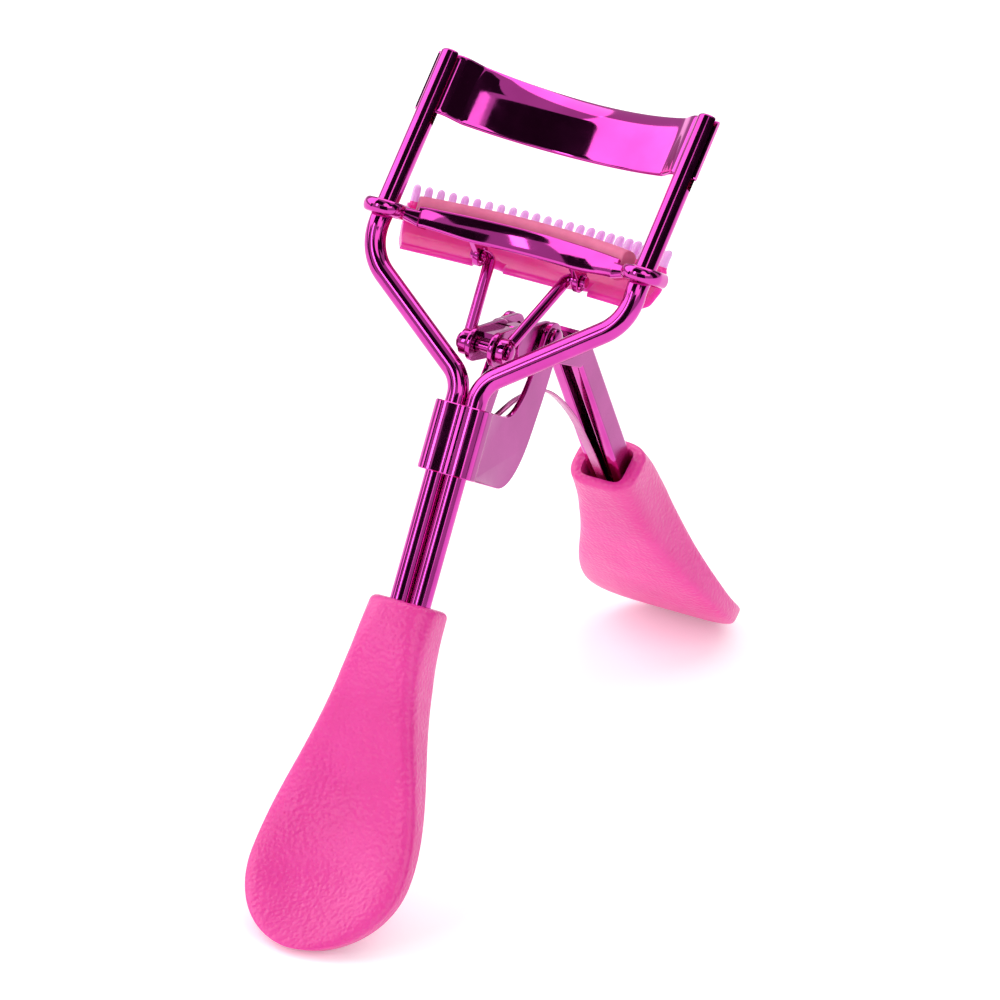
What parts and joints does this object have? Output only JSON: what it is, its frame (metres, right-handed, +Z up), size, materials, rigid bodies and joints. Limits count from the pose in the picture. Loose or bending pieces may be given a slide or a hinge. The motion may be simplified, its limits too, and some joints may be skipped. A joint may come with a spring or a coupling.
{
  "type": "eyelash curler",
  "caption": "Eyelash curler with two plastic grips, a magenta wire frame, a rubber-padded lower jaw that slides up to a curved band, and a built-in lash comb.",
  "frame": {"origin": "on the floor, midway between the two grip tips and under the fulcrum pin", "axes": "+Z up; X across the jaws; -Y towards the front lever, whose wires carry the uprights and the upper jaw"},
  "size_m": [0.0382, 0.1058, 0.0858],
  "materials": {
    "magenta_chrome": "mirror-polished wire and sheet with a magenta electroplated colour",
    "rivet_chrome": "polished rivet heads, darker magenta",
    "spring_steel": "satin pale pink spring strip",
    "grip_plastic": "satin hot pink with a fine leather grain on the dished faces",
    "pad_silicone": "matt salmon silicone",
    "comb_plastic": "clear light pink moulding"
  },
  "bodies": {
    "frame": {"left_frame_rod": "magenta_chrome", "right_frame_rod": "magenta_chrome", "clasp": "magenta_chrome", "fulcrum_pin": "rivet_chrome", "upper_jaw_band": "magenta_chrome", "front_grip": "grip_plastic"},
    "lever": {"lever_arm": "magenta_chrome", "crank_pin": "rivet_chrome", "leaf_spring": "spring_steel", "rear_grip": "grip_plastic"},
    "links": {"left_push_rod": "magenta_chrome", "right_push_rod": "magenta_chrome"},
    "jaw": {"lower_jaw_bar": "magenta_chrome", "silicone_pad": "pad_silicone", "lash_comb": "comb_plastic", "left_rod_lug": "magenta_chrome", "right_rod_lug": "magenta_chrome"}
  },
  "joints": [
    {"name": "lever_pivot", "type": "hinge", "parent": "frame", "child": "lever", "pos_m": [0, 0, 0.0568], "axis": [-1, 0, 0], "range_deg": [0, 43.3], "stiffness_Nm_per_rad": 0.08, "springref_deg": -20.05, "deforming": ["leaf_spring"]},
    {"name": "push_rod_pivot", "type": "hinge", "parent": "lever", "child": "links", "pos_m": [0, -0.01119, 0.05964], "axis": [-1, 0, 0], "range_deg": [-38, 0]},
    {"name": "jaw_pivot", "type": "hinge", "parent": "links", "child": "jaw", "pos_m": [0, -0.001, 0.06568], "axis": [-1, 0, 0], "range_deg": [0, 12.9]}
  ],
  "couplings": [
    {"joint": "push_rod_pivot", "follows": "lever_pivot", "ratio": -0.8751},
    {"joint": "jaw_pivot", "follows": "lever_pivot", "ratio": 0.2951}
  ]
}
